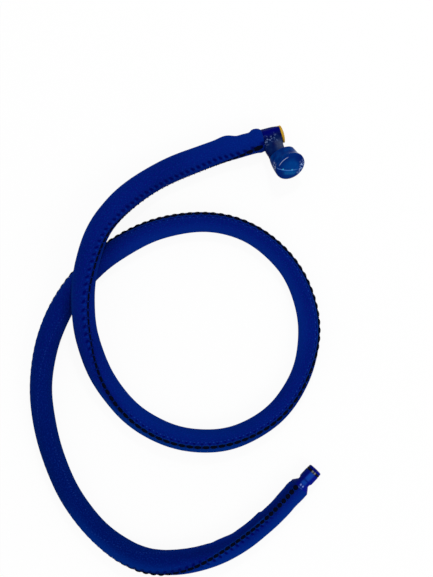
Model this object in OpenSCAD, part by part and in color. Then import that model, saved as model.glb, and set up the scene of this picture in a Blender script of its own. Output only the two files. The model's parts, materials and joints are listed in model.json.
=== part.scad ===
// Insulated drinking hose for a hydration pack, lying in one open loop.
// Millimetres. Z is up, and the hose rests on the plane Z = 0 with the origin in the middle of
// its footprint. The route runs from the mouthpiece to the quick-connect plug.

/* [Hose] */
// Outside diameter of the padded sleeve at its middling girth
sleeve_d = 16; // [14:0.5:20]
// Outside diameter of the water tube
tube_d = 9.5; // [8.5:0.1:10]
// Bore of the water tube
tube_bore = 6.4; // [5:0.1:6.8]
// Radial room between the water tube and the sleeve
sleeve_room = 0.3; // [0.1:0.05:0.6]
// Height of the sewn seam above the sleeve
seam_h = 0.6; // [0.3:0.1:1]
// Part of a sleeve facet that the top of the seam covers
seam_taper = 0.5; // [0.3:0.05:0.8]
// Air between the two strands where the hose crosses over itself
crossing_gap = 0.6; // [0.4:0.1:2]

/* [Hose barbs] */
// Length of the barbed stem inside the tube, the same on both fittings
barb_len = 14; // [9:0.5:20]
// How far each barb bites into the wall of the tube
barb_bite = 0.4; // [0.2:0.05:0.6]
// Number of barbs on a stem
barb_count = 3; // [2:1:4]
// Water passage through a stem
passage_d = 4; // [3:0.1:4.4]

/* [Elbow] */
// Outside diameter of the elbow's main barrel
elbow_d = 12.3; // [11.6:0.1:14]
// Thickness of the barrel's floor, between the stem and the plug's bore
elbow_floor = 1.2; // [0.8:0.1:1.6]
// Distance along the barrel from the sleeve to the outlet's axis
outlet_at = 5.2; // [5:0.1:9]
// Distance along the barrel from the outlet's axis to the cap end
outlet_setback = 8.6; // [7:0.1:10]
// Lean of the outlet towards the cap, from square to the barrel
outlet_lean = 10; // [0:0.5:12]
// Turn of the outlet about the barrel, up from the ground
outlet_roll = 22; // [0:1:45]
// Outside diameter of the outlet's neck where it meets the mouthpiece
neck_d = 13.2; // [12:0.1:13.6]
// Distance from the barrel's axis to the shoulder of the neck
neck_len = 15.2; // [13:0.1:20]
// Diameter of the spigot inside the mouthpiece
spigot_d = 9; // [7.5:0.1:9.6]
// Length of the spigot beyond the shoulder
spigot_len = 8; // [6:0.1:9]
// Height of the bead that holds the mouthpiece on the spigot
bead_h = 0.5; // [0.2:0.05:0.7]
// Width of that bead
bead_w = 1.2; // [0.8:0.1:2]
// Distance from the spigot's end back to the bead
bead_setback = 0.7; // [0.3:0.1:1.5]
// Water passage through the outlet
outlet_bore = 3.8; // [3:0.1:4.4]

/* [Shut-off lever] */
// Diameter of the plug that turns inside the barrel
plug_d = 8; // [7.4:0.1:8.6]
// Running clearance on the radius, of the plug in its bore and the mouthpiece on its spigot
running_room = 0.05; // [0.02:0.01:0.1]
// End clearance of the plug and of its cap
plug_end_room = 0.2; // [0.1:0.05:0.4]
// Diameter of the port in the side of the plug
port_d = 3.2; // [2.5:0.1:3.6]
// Height of the snap ridge that keeps the plug in
snap_h = 0.3; // [0.1:0.05:0.4]
// Width of that ridge
snap_w = 1; // [0.6:0.1:1.2]
// Land beside each seal on the plug
plug_land = 0.5; // [0.3:0.05:0.7]
// Clearance round the snap ridge and round the mouthpiece's bead
snap_room = 0.1; // [0.05:0.01:0.2]
// Thickness of the cap at the end of the barrel
cap_t = 1.7; // [1.5:0.1:3]
// Edge radius of the cap
cap_edge = 1.2; // [0.4:0.1:1.4]
// Thickness of the finger paddle
paddle_t = 1.05; // [0.8:0.05:2]
// Gap between the paddle and the barrel
paddle_room = 0.3; // [0.2:0.05:1]
// Length of the paddle along the barrel
paddle_len = 12; // [6:0.5:13]
// Angle that the paddle covers round the barrel
paddle_arc = 44; // [20:1:70]
// Angle of the paddle's middle below the level of the ground side
paddle_drop = 46; // [40:1:60]

/* [Seals] */
// Section diameter of the two O-rings on the plug
plug_ring_d = 1; // [0.8:0.05:1.1]
// Section diameter of the O-ring on the connector
nose_ring_d = 1.4; // [1:0.05:1.6]
// Room for an O-ring in its groove, on each side
groove_room = 0.1; // [0.05:0.01:0.2]
// Gap between an O-ring and the bore it seals, or its stand above the nose
ring_skin = 0.02; // [0.01:0.005:0.04]

/* [Bite valve] */
// Diameter of the mouthpiece's skirt
skirt_d = 18.8; // [17:0.1:20]
// Offset of the mouthpiece from its spigot, towards the cap
skirt_shift = 2.6; // [0:0.1:2.8]
// Diameter of the mouthpiece's head
head_d = 21.8; // [19:0.1:24]
// Distance from the skirt's back to the middle of the slit face
head_len = 16.5; // [14:0.1:18]
// Tilt of the head against the spigot
head_tilt = 19; // [0:1:22]
// Direction of that tilt, turned from the cap side towards the top
head_turn = 82; // [0:1:90]
// Edge radius of the skirt
skirt_edge = 1; // [0.5:0.1:2]
// Edge radius of the head
head_edge = 2; // [1.5:0.1:4]
// Height of the crown of the slit face
face_crown = 0.6; // [0.2:0.1:1.2]
// Length of the slit
slit_len = 9; // [6:0.5:12]
// Turn of the slit about the head
slit_turn = 63; // [0:1:179]
// Width of the slit
slit_w = 0.4; // [0.2:0.05:0.6]
// Gap between the mouthpiece and the neck's shoulder
skirt_room = 0.2; // [0.1:0.05:0.4]
// Thickness of the slit face over the hollow
face_wall = 2.4; // [1.5:0.1:3]

/* [Connector] */
// Diameter of the flange that the sleeve ends against
flange_d = 14.4; // [13:0.1:15]
// Thickness of the flange
flange_t = 1.2; // [0.8:0.1:2]
// Length of the taper from the flange to the latch neck
flange_taper = 3.6; // [2:0.1:4]
// Diameter of the latch neck
latch_d = 8.8; // [8:0.1:9.4]
// Length of the latch neck
latch_len = 2; // [1.5:0.1:4]
// Length of the taper from the latch neck to the nose
nose_taper = 1.3; // [0.5:0.1:2]
// Diameter of the nose that enters the socket
nose_d = 10.5; // [10:0.05:11]
// Length of the nose, up to the O-ring
nose_len = 6.5; // [5:0.1:12]
// Diameter of the lip in front of the O-ring
lip_d = 10.2; // [9.6:0.05:10.4]
// Length of that lip
lip_len = 1.2; // [0.8:0.1:2]
// Chamfer at the front of the lip
lip_chamfer = 0.3; // [0.1:0.05:0.5]

/* [Hidden] */
$fn = 64;

// Route of the hose, as it lies: x, y, share of the crossing's lift, girth against the
// middling one, and the angle of the seam from the top, positive towards the loop's inside.
route = [
    [61, 147.5, 0, 1.04, 36], [37, 141, 0, 1.04, 72], [11.5, 132.1, 0, 1.1, 90],
    [-12, 121.5, 0.05, 1.09, 94], [-33.5, 106.5, 0.32, 1.1, 86], [-50, 87, 0.72, 1.03, 63],
    [-59.2, 62.8, 1, 1.03, 50], [-62.5, 37.5, 1, 1.02, 33], [-60.7, 12.2, 0.68, 1, 22],
    [-53.1, -12.3, 0.26, 1.03, -1], [-39.4, -34.4, 0, 1, -19], [-19.6, -51.6, 0, 1.01, -28],
    [4.5, -61.4, 0, 1.03, -30], [30.6, -62.9, 0, 1, -27], [55.4, -54.8, 0, 0.96, -29],
    [75.8, -38.3, 0, 0.92, -38], [88.9, -15.7, 0, 0.9, -45], [94.1, 9.5, 0, 0.95, -61],
    [90.8, 35.6, 0, 0.94, -63], [79.4, 58.9, 0, 0.91, -60], [61, 77, 0, 0.88, -58],
    [37.1, 87.9, 0, 0.88, -57], [11.5, 89.6, 0, 0.88, -57], [-14.2, 84.1, 0, 0.96, -61],
    [-37.1, 72.9, 0, 0.99, -69], [-57.7, 57.2, 0, 0.99, -82], [-74.4, 37.1, 0, 1.03, -97],
    [-86.1, 13.7, 0, 1.04, -104], [-92.3, -11, 0, 1, -108], [-93, -37, 0, 0.98, -110],
    [-88.2, -62.9, 0, 0.99, -110], [-79.9, -87.2, 0, 0.97, -110], [-67.1, -110.2, 0, 0.98, -108],
    [-50, -129.4, 0, 1.01, -102], [-28.2, -143.6, 0, 1.06, -82], [-2.5, -148.3, 0, 1.09, -54],
    [23, -143.9, 0, 1.07, -24], [46.8, -133.2, 0, 0.98, 6], [68.1, -116.2, 0, 0.94, 20],
    [86.9, -96, 0, 0.94, 19]];
// Middle of the footprint, in the coordinates of the route
footprint_x = 0.53;
footprint_y = 0.46;
// Sides of the faceted hose, the same for the tube and the sleeve so that they nest
sides = 12;
// Overlap that keeps a cut from leaving a skin
cut = 0.1;

last = len(route) - 1;
sleeve_bore = tube_d + 2 * sleeve_room;
hump = sleeve_d + crossing_gap;
elbow_end_heading = atan2(route[0].y - route[1].y, route[0].x - route[1].x);
plug_end_heading = atan2(route[last].y - route[last - 1].y, route[last].x - route[last - 1].x);

elbow_len = outlet_at + outlet_setback;
bore_r = plug_d / 2 + running_room;
plug_from = elbow_floor + plug_end_room;
cap_from = elbow_len + plug_end_room;
groove_w = plug_ring_d + 2 * groove_room;
plug_ring_r = bore_r - ring_skin - plug_ring_d / 2;
plug_groove_r = plug_ring_r - plug_ring_d / 2 - ring_skin;
inner_ring_at = plug_from + plug_land + groove_w / 2;
port_end = outlet_at + port_d / 2 + plug_d / 2 * tan(outlet_lean);
outer_ring_at = port_end + plug_land + groove_w / 2;
snap_at = outer_ring_at + groove_w / 2 + plug_land;
paddle_r = elbow_d / 2 + paddle_room;

skirt_at = neck_len + skirt_room;
spigot_end = neck_len + spigot_len;
bead_from = spigot_end - bead_setback - bead_w;
socket_r = spigot_d / 2 + running_room;

latch_from = flange_t + flange_taper;
nose_from = latch_from + latch_len + nose_taper;
nose_end = nose_from + nose_len;
nose_groove_w = nose_ring_d + 2 * groove_room;
nose_ring_r = nose_d / 2 + ring_skin - nose_ring_d / 2;
nose_groove_r = nose_ring_r - nose_ring_d / 2 - ring_skin;
lip_from = nose_end + nose_groove_w;
nose_tip = lip_from + lip_len;

// Geometry of the route
function unit(v) = v / norm(v);
function place(i) = [route[i].x - footprint_x, route[i].y - footprint_y,
                     route[i][3] * sleeve_d / 2 + route[i].z * hump];
function travel(i) = unit(place(min(i + 1, last)) - place(max(i - 1, 0)));
function left_of(i) = unit(cross([0, 0, 1], travel(i)));
function top_of(i) = cross(travel(i), left_of(i));

// A point at radius r and angle a from the seam's middle, in the section at point i
function on_ring(i, r, a) =
    let (turn = route[i][4] + a)
    place(i) + r * (cos(turn) * top_of(i) + sin(turn) * left_of(i));
function ring(i, r) = [for (k = [0 : sides - 1]) on_ring(i, r, (k - 0.5) * 360 / sides)];

// The two triangles of a facet between two rings of n points, seen from outside. The diagonal
// follows the turn of the seam, so that a turning skin bulges outwards.
function facet(i, k, n, from) =
    let (a = from + i * n + k, b = from + i * n + (k + 1) % n)
    route[i + 1][4] < route[i][4] ? [[a, b, b + n], [a, b + n, a + n]]
                                  : [[a, b, a + n], [b, b + n, a + n]];
function skin(n, from) =
    [for (i = [0 : last - 1], k = [0 : n - 1], f = facet(i, k, n, from)) f];
function flipped(faces) = [for (f = faces) [f[2], f[1], f[0]]];
// The annulus that joins the outer and the inner ring at one end
function rim(outer, inner, n) =
    [for (k = [0 : n - 1]) let (j = (k + 1) % n)
        each [[outer + k, inner + k, inner + j], [outer + k, inner + j, outer + j]]];

// A pipe swept along the route, with the outer radius at each point and one bore
module swept_pipe(outer_r, bore) {
    count = sides * (last + 1);
    outer = [for (i = [0 : last]) each ring(i, outer_r[i])];
    inner = [for (i = [0 : last]) each ring(i, bore / 2)];
    faces = concat(skin(sides, 0), flipped(skin(sides, count)), rim(0, count, sides),
                   flipped(rim(count - sides, 2 * count - sides, sides)));
    polyhedron(concat(outer, inner), faces);
}

// Places that the fittings stand on: X leads away from the hose
module at_elbow() translate(place(0)) rotate(elbow_end_heading) children();
module at_outlet()
    rotate([-outlet_roll, 0, 0]) translate([outlet_at, 0, 0])
        rotate(outlet_lean) rotate([90, 0, 0]) children();
module at_plug() translate(place(last)) rotate(plug_end_heading) children();
module along_x() rotate([0, 90, 0]) children();

// A ring of square section about Z, from radius r_in to r_out
module band(r_in, r_out, from, w)
    translate([0, 0, from]) rotate_extrude() translate([r_in, 0]) square([r_out - r_in, w]);
module o_ring(r, d) rotate_extrude() translate([r, 0]) circle(d = d, $fn = 32);

// The barbed stem, from its root at Z = 0 downwards
module barbed_stem() {
    root_r = tube_bore / 2;
    pitch = barb_len / barb_count;
    for (k = [1 : barb_count])
        translate([0, 0, -k * pitch])
            cylinder(h = pitch, r1 = root_r - barb_bite, r2 = root_r + barb_bite);
    translate([0, 0, -barb_len]) cylinder(h = barb_len, r = root_r - barb_bite / 2);
}

module drink_tube()
    color("lightsteelblue") swept_pipe([for (i = [0 : last]) tube_d / 2], tube_bore);

module insulation_sleeve()
    color("midnightblue") swept_pipe([for (p = route) p[3] * sleeve_d / 2], sleeve_bore);

// The sewn seam sits on one facet of the sleeve over its whole length
module seam_thread() {
    edge = 180 / sides;
    top_edge = edge * seam_taper;
    rings = [for (i = [0 : last]) let (r = route[i][3] * sleeve_d / 2, top_r = r + seam_h)
        each [on_ring(i, r, -edge), on_ring(i, r, edge),
              on_ring(i, top_r, top_edge), on_ring(i, top_r, -top_edge)]];
    end = 4 * last;
    caps = [[0, 1, 2], [0, 2, 3], [end, end + 2, end + 1], [end, end + 3, end + 2]];
    color("navy") polyhedron(rings, concat(flipped(skin(4, 0)), caps));
}

module valve_body()
    color("darkblue") at_elbow() difference() {
        union() {
            along_x() cylinder(h = elbow_len, d = elbow_d);
            along_x() barbed_stem();
            intersection() {
                at_outlet() cylinder(h = neck_len, d1 = elbow_d - 2 * cut, d2 = neck_d);
                translate([cut, -neck_len, -neck_len]) cube(2 * neck_len);
            }
            at_outlet() cylinder(h = spigot_end, d = spigot_d);
            at_outlet() band(0, spigot_d / 2 + bead_h, bead_from, bead_w);
        }
        along_x() translate([0, 0, elbow_floor]) cylinder(h = elbow_len, r = bore_r);
        along_x() translate([0, 0, -barb_len - cut])
            cylinder(h = barb_len + elbow_floor + 2 * cut, d = passage_d);
        along_x() band(0, bore_r + snap_h, snap_at - snap_room, snap_w + 2 * snap_room);
        at_outlet() cylinder(h = spigot_end + cut, d = outlet_bore);
    }

module finger_paddle()
    rotate([-paddle_drop, 0, 0]) along_x() {
        rotate(90 - paddle_arc / 2) rotate_extrude(angle = paddle_arc)
            translate([paddle_r, cap_from - paddle_len]) square([paddle_t, paddle_len + cap_t]);
        rotate(90 - paddle_arc / 2) rotate_extrude(angle = paddle_arc)
            translate([plug_d / 2, cap_from]) square([paddle_r + paddle_t - plug_d / 2, cap_t]);
    }

// The cap's section: a disc with a rounded front edge
module cap_disc()
    translate([0, 0, cap_from]) rotate_extrude() {
        square([elbow_d / 2 - cap_edge, cap_t]);
        square([elbow_d / 2, cap_t - cap_edge]);
        translate([elbow_d / 2 - cap_edge, cap_t - cap_edge]) intersection() {
            circle(r = cap_edge);
            square(cap_edge);
        }
    }

module shutoff_lever()
    color("goldenrod") at_elbow() difference() {
        union() {
            along_x() translate([0, 0, plug_from]) cylinder(h = cap_from - plug_from, d = plug_d);
            along_x() band(0, plug_d / 2 + snap_h - running_room, snap_at, snap_w);
            along_x() cap_disc();
            finger_paddle();
        }
        along_x() cylinder(h = outlet_at + port_d / 2, d = passage_d);
        at_outlet() cylinder(h = plug_d, d = port_d);
        for (at = [inner_ring_at, outer_ring_at])
            along_x() band(plug_groove_r, plug_d / 2 + cut, at - groove_w / 2, groove_w);
    }

module barrel_o_ring_inner()
    color("dimgray") at_elbow() along_x()
        translate([0, 0, inner_ring_at]) o_ring(plug_ring_r, plug_ring_d);

module barrel_o_ring_outer()
    color("dimgray") at_elbow() along_x()
        translate([0, 0, outer_ring_at]) o_ring(plug_ring_r, plug_ring_d);

// Head of the mouthpiece: Z leads out through the slit face
module at_head()
    translate([skirt_shift, 0, skirt_at]) rotate(head_turn) rotate([0, head_tilt, 0]) children();

module bite_valve()
    color("royalblue") at_elbow() at_outlet() difference() {
        hull() {
            translate([skirt_shift, 0, skirt_at + skirt_edge]) rotate_extrude($fn = 32)
                translate([skirt_d / 2 - skirt_edge, 0]) circle(r = skirt_edge, $fn = 16);
            at_head() translate([0, 0, head_len - face_crown - head_edge]) rotate_extrude($fn = 32)
                translate([head_d / 2 - head_edge, 0]) circle(r = head_edge, $fn = 16);
            at_head() translate([0, 0, head_len - face_crown])
                cylinder(h = face_crown, d = head_d / 3, $fn = 32);
        }
        cylinder(h = spigot_end + skirt_room, r = socket_r);
        band(0, socket_r + bead_h, bead_from - snap_room, bead_w + 2 * snap_room);
        at_head() translate([0, 0, spigot_len]) {
            cylinder(h = head_len - face_wall - spigot_len, d = spigot_d);
            rotate(slit_turn) translate([-slit_len / 2, -slit_w / 2, 0])
                cube([slit_len, slit_w, head_len]);
        }
    }

module connector_body()
    color("mediumblue") at_plug() along_x() difference() {
        union() {
            barbed_stem();
            cylinder(h = flange_t, d = flange_d);
            translate([0, 0, flange_t]) cylinder(h = flange_taper, d1 = flange_d, d2 = latch_d);
            cylinder(h = nose_from, d = latch_d);
            translate([0, 0, nose_from - nose_taper])
                cylinder(h = nose_taper, d1 = latch_d, d2 = nose_d);
            translate([0, 0, nose_from]) cylinder(h = nose_len, d = nose_d);
            cylinder(h = nose_tip, r = nose_groove_r);
            translate([0, 0, lip_from]) cylinder(h = lip_len - lip_chamfer, d = lip_d);
            translate([0, 0, nose_tip - lip_chamfer])
                cylinder(h = lip_chamfer, d1 = lip_d, d2 = lip_d - 2 * lip_chamfer);
        }
        translate([0, 0, -barb_len - cut]) cylinder(h = barb_len + nose_tip + 2 * cut, d = passage_d);
    }

module connector_o_ring()
    color("black") at_plug() along_x()
        translate([0, 0, nose_end + nose_groove_w / 2]) o_ring(nose_ring_r, nose_ring_d);

drink_tube();
insulation_sleeve();
seam_thread();
valve_body();
shutoff_lever();
barrel_o_ring_inner();
barrel_o_ring_outer();
bite_valve();
connector_body();
connector_o_ring();
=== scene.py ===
# %% [markdown]
# # An insulated drinking hose
# This is the drinking hose of a hydration pack: a water tube in a padded blue sleeve. One end has
# a shut-off elbow with a soft mouthpiece, and the other end a quick-connect plug. The solids come
# from the CAD model, which fixes every place and size. This lesson dresses them: each piece that
# shows is made again with its soft form, its stitches and its finish. All lengths below are in
# millimetres, and are turned to metres when a mesh is made.

# %% Load the frame
import json
import math
import bmesh
import bpy
import numpy as np
from mathutils import Matrix, Vector

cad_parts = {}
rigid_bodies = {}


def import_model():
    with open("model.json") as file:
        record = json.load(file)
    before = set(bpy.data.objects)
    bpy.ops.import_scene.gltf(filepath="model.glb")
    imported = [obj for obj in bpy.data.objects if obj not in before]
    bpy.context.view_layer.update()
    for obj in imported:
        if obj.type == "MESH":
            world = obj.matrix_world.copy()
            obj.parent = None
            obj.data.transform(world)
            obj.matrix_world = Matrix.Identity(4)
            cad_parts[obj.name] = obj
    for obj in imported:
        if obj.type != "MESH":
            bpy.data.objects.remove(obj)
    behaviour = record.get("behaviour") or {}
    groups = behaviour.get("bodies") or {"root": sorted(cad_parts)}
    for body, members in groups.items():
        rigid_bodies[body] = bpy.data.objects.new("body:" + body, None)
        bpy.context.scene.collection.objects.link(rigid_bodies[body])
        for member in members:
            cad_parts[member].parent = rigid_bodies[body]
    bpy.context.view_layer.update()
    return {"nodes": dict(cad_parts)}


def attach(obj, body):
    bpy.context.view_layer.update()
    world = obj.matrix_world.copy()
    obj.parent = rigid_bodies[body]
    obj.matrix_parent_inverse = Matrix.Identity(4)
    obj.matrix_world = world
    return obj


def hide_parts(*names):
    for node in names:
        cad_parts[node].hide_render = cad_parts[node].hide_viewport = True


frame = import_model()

MM = 0.001
print("solids:", sorted(frame["nodes"]))

# %% [markdown]
# ## The camera
# The hose was photographed from straight above, so the camera looks down without any turn. Its
# field of view is set from two facts: one pixel covers 0.7 mm at the height of the hose's axis,
# and the picture is 577 pixels tall. A camera one metre up sees the fittings almost flat, as in
# the photograph.

# %% Camera
PICTURE_TALL = 577
PIXEL = 0.70
CAMERA_UP = 1000.0
HOSE_AXIS_UP = 8.2
PICTURE_MIDDLE = (28.87, 42.94)


def add_object(name, data):
    """An object made of some data, put into the scene."""
    made = bpy.data.objects.new(name, data)
    bpy.context.scene.collection.objects.link(made)
    return made


half_field = math.atan(PICTURE_TALL * PIXEL / 2 / (CAMERA_UP - HOSE_AXIS_UP))
lens = bpy.data.cameras.new("camera")
lens.sensor_fit = "VERTICAL"
lens.lens = lens.sensor_height / 2 / math.tan(half_field)
lens.clip_start = 0.01
camera = add_object("camera", lens)
camera.location = Vector((*PICTURE_MIDDLE, CAMERA_UP)) * MM
bpy.context.scene.camera = camera
bpy.context.scene.view_settings.view_transform = "Standard"
print("camera field", round(math.degrees(2 * half_field), 2), "degrees")

# %% [markdown]
# ## The route of the hose
# A hose is one fixed length that lies as it was dropped, so everything on it follows one line.
# The rows below are the CAD model's own points: place on the table, share of the lift where it
# crosses over itself, girth against the middling one, and the angle of the seam from the top.
# Only the seam's angle at the last turn is its own, fitted to where the beads lie there. A natural
# cubic spline through the rows gives the smooth bends that a padded hose makes.

# %% Points of the route
SLEEVE_R = 8.0
CROSSING_LIFT, MOST_LIFT = 16.6, 1.02
LINE_POINTS = 4001
FOOTPRINT = (0.53, 0.46)
ROUTE = np.array([
    (61, 147.5, 0, 1.04, 36), (37, 141, 0, 1.04, 72), (11.5, 132.1, 0, 1.1, 90),
    (-12, 121.5, .05, 1.09, 94), (-33.5, 106.5, .32, 1.1, 86), (-50, 87, .72, 1.03, 63),
    (-59.2, 62.8, 1, 1.03, 50), (-62.5, 37.5, 1, 1.02, 33), (-60.7, 12.2, .68, 1, 22),
    (-53.1, -12.3, .26, 1.03, -1), (-39.4, -34.4, 0, 1, -19), (-19.6, -51.6, 0, 1.01, -28),
    (4.5, -61.4, 0, 1.03, -30), (30.6, -62.9, 0, 1, -27), (55.4, -54.8, 0, .96, -29),
    (75.8, -38.3, 0, .92, -38), (88.9, -15.7, 0, .9, -45), (94.1, 9.5, 0, .95, -61),
    (90.8, 35.6, 0, .94, -63), (79.4, 58.9, 0, .91, -60), (61, 77, 0, .88, -58),
    (37.1, 87.9, 0, .88, -57), (11.5, 89.6, 0, .88, -57), (-14.2, 84.1, 0, .96, -61),
    (-37.1, 72.9, 0, .99, -69), (-57.7, 57.2, 0, .99, -82), (-74.4, 37.1, 0, 1.03, -97),
    (-86.1, 13.7, 0, 1.04, -104), (-92.3, -11, 0, 1, -108), (-93, -37, 0, .98, -110),
    (-88.2, -62.9, 0, .99, -110), (-79.9, -87.2, 0, .97, -110), (-67.1, -110.2, 0, .98, -108),
    (-50, -129.4, 0, 1.01, -102), (-28.2, -143.6, 0, 1.06, -84), (-2.5, -148.3, 0, 1.09, -52),
    (23, -143.9, 0, 1.07, -11), (46.8, -133.2, 0, .98, 18), (68.1, -116.2, 0, .94, 20),
    (86.9, -96, 0, .94, 19)])
print("route points", len(ROUTE))


# %% The line that the hose follows
def spline(knots, rows, at):
    """Natural cubic spline through rows, read at the places in at."""
    gap = np.diff(knots)
    slope = np.diff(rows, axis=0) / gap[:, None]
    system = np.eye(len(knots))
    wanted = np.zeros_like(rows)
    for i in range(1, len(knots) - 1):
        system[i, i - 1:i + 2] = gap[i - 1], 2 * (gap[i - 1] + gap[i]), gap[i]
        wanted[i] = 6 * (slope[i] - slope[i - 1])
    bend = np.linalg.solve(system, wanted)
    i = np.clip(np.searchsorted(knots, at) - 1, 0, len(gap) - 1)
    h = gap[i][:, None]
    a = (knots[i + 1] - at)[:, None] / h
    b = 1 - a
    curve = ((a ** 3 - a) * bend[i] + (b ** 3 - b) * bend[i + 1]) * h ** 2 / 6
    return a * rows[i] + b * rows[i + 1] + curve


def unit(rows):
    return rows / np.linalg.norm(rows, axis=-1, keepdims=True)


steps = np.linalg.norm(np.diff(ROUTE[:, :2], axis=0), axis=1)
knots = np.concatenate([[0], np.cumsum(steps)])
fine = spline(knots, ROUTE, np.linspace(0, knots[-1], LINE_POINTS))
girth = fine[:, 3] * SLEEVE_R
middle = np.column_stack([fine[:, 0] - FOOTPRINT[0], fine[:, 1] - FOOTPRINT[1],
                          girth + np.clip(fine[:, 2], 0, MOST_LIFT) * CROSSING_LIFT])
along = np.concatenate([[0], np.cumsum(np.linalg.norm(np.diff(middle, axis=0), axis=1))])
HOSE_LENGTH = along[-1]
CUFF = 1.3
travel = unit(np.gradient(middle, along, axis=0))
middle = np.vstack([middle[0] - CUFF * travel[0], middle, middle[-1] + CUFF * travel[-1]])
along = np.concatenate([[-CUFF], along, [HOSE_LENGTH + CUFF]])
fine, girth, travel = (np.concatenate([rows[:1], rows, rows[-1:]])
                       for rows in (fine, girth, travel))
leftward = unit(np.cross([0, 0, 1], travel))
upward = np.cross(travel, leftward)


def on_line(s, table):
    """Reads a table of the hose's line at the lengths s."""
    if table.ndim == 1:
        return np.interp(s, along, table)
    return np.column_stack([np.interp(s, along, column) for column in table.T])


def round_hose(s, radius, angle):
    """Points at a radius and an angle in degrees from the seam, in the sections at s."""
    turn = np.radians(on_line(s, fine[:, 4]) + angle)
    spread = np.cos(turn)[:, None] * unit(on_line(s, upward))
    spread += np.sin(turn)[:, None] * unit(on_line(s, leftward))
    return on_line(s, middle) + np.asarray(radius)[:, None] * spread


print("hose length", round(HOSE_LENGTH), "mm")

# %% [markdown]
# ## Counting the stitches
# The seam of the sleeve is sewn with one stitch about every 5 mm, closer on the inside of the
# first bend and at the plug, wider beside the elbow. A running count of stitches along the hose
# is the handiest measure for all that repeats: whole numbers are where thread crosses the seam.

# %% Stitch count along the hose
STITCH_PITCH = [(0, 11), (4.5, 10), (6.5, 5.2), (12, 6.0), (25, 4.2), (60, 4.2), (100, 4.5),
                (140, 4.9), (165, 5.2), (188, 5.7), (205, 5.4), (225, 5.2), (260, 5.4), (310, 5.3),
                (420, 5.4), (560, 5.2), (640, 4.9), (820, 5.0), (930, 4.8), (1000, 4.2)]


def looked_up(table, s):
    """Reads a table of (length, value) rows at the lengths s."""
    return np.interp(s, *np.array(table).T)


pitch = looked_up(STITCH_PITCH, along)
stitch = np.concatenate([[0], np.cumsum(np.diff(along) / ((pitch[1:] + pitch[:-1]) / 2))])
STITCHES = round(stitch[-1])
stitch *= STITCHES / stitch[-1]
print("stitches", STITCHES)

# %% [markdown]
# ## Writing node graphs as sums
# A finish is a graph of shader nodes, and a growing pattern is a graph of geometry nodes, but
# their maths reads best as sums. The class Wire holds one socket and turns +, -, * and / into Math
# nodes. Graph has one method, node, for every other kind of node: it takes the type, its settings
# and its sockets' values, and gives back the outputs. Finish is the graph of one material: coats
# lays colours over each other by their shares, and reach measures along a direction.

# %% Wires and graphs
class Wire:
    def __init__(self, graph, socket):
        self.graph, self.socket = graph, socket

    def math(self, operation, *others):
        values = dict(enumerate((self, *others)))
        return self.graph.node("ShaderNodeMath", {"operation": operation}, values)[0]

    def __add__(self, other): return self.math("ADD", other)
    def __sub__(self, other): return self.math("SUBTRACT", other)
    def __mul__(self, other): return self.math("MULTIPLY", other)
    def __truediv__(self, other): return self.math("DIVIDE", other)
    def __pow__(self, other): return self.math("POWER", other)
    def __abs__(self): return self.math("ABSOLUTE")
    def __neg__(self): return self * -1
    def __rsub__(self, other): return -self + other
    __radd__, __rmul__ = __add__, __mul__

    def fade(self, start, end):
        """0 at start and 1 at end, smooth between them; start may be the larger."""
        low, high = sorted((start, end))
        made = self.graph.node("ShaderNodeMapRange", {"interpolation_type": "SMOOTHSTEP"},
                               {"Value": self, "From Min": low, "From Max": high})[0]
        return made if start < end else 1 - made


class Graph:
    def __init__(self, tree):
        self.tree = tree

    def join(self, value, target):
        if isinstance(value, Wire):
            self.tree.links.new(value.socket, target)
        else:
            target.default_value = value

    def node(self, kind, settings=None, sockets=None):
        """Adds a node and returns its outputs as wires."""
        made = self.tree.nodes.new(kind)
        for setting, value in (settings or {}).items():
            setattr(made, setting, value)
        by_id = {socket.identifier: socket for socket in made.inputs}
        for name, value in (sockets or {}).items():
            self.join(value, by_id[name] if name in by_id else made.inputs[name])
        return [Wire(self, socket) for socket in made.outputs if socket.enabled]

    def split(self, vector):
        return self.node("ShaderNodeSeparateXYZ", {}, {"Vector": vector})


print("wires and graphs ready")


# %% Finishes
class Finish(Graph):
    """A material whose constants sit on the shader and whose patterns are wires."""

    def __init__(self, name, **constants):
        self.material = bpy.data.materials.new(name)
        self.material.use_nodes = True
        super().__init__(self.material.node_tree)
        self.surface = self.tree.nodes["Principled BSDF"]
        self.show(**constants)

    def show(self, **sockets):
        for socket, value in sockets.items():
            self.join(value, self.surface.inputs[socket.replace("_", " ")])

    def mix(self, share, first, second):
        """A colour between two colours."""
        return self.node("ShaderNodeMix", {"data_type": "RGBA"},
                         {"Factor_Float": share, "A_Color": first, "B_Color": second})[0]

    def coats(self, colour, *layers):
        """Lays layers, each a share and a screen colour, over a first colour."""
        colour = colour if isinstance(colour, Wire) else srgb(*colour)
        for share, layer in layers:
            colour = self.mix(share, colour, srgb(*layer))
        return colour

    def place(self):
        return self.node("ShaderNodeTexCoord")[3]

    def reach(self, spot, way):
        """Millimetres from a spot, measured along a direction."""
        x, y, z = ((c - s * MM) * (w / MM)
                   for c, s, w in zip(self.split(self.place()), spot, way))
        return x + y + z

    def noise(self, size, detail=2.0):
        """Noise with features of about this size in millimetres."""
        return self.node("ShaderNodeTexNoise", {}, {"Vector": self.place(), "Detail": detail,
                                                    "Scale": 1 / (size * MM)})[0]

    def relief(self, height, depth):
        """Raises the surface by height times depth, in millimetres."""
        self.show(Normal=self.node("ShaderNodeBump", {},
                                   {"Height": height, "Distance": depth * MM})[0])


def srgb(red, green, blue):
    """A colour picked on a screen, from 0 to 255, as the linear light that Blender mixes."""
    parts = [c / 255 for c in (red, green, blue)]
    return (*[((p + 0.055) / 1.055) ** 2.4 if p > 0.04 else p / 12.92 for p in parts], 1.0)


print("finish helper ready")

# %% [markdown]
# ## Pieces from points
# Each piece is a mesh of plain points and faces, so it can be made from arrays in one go. A grid
# of rings that closes on itself both ways has no open edge, and its UV maps say where every corner
# sits along and around the piece, which is what cloth patterns need.

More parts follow.
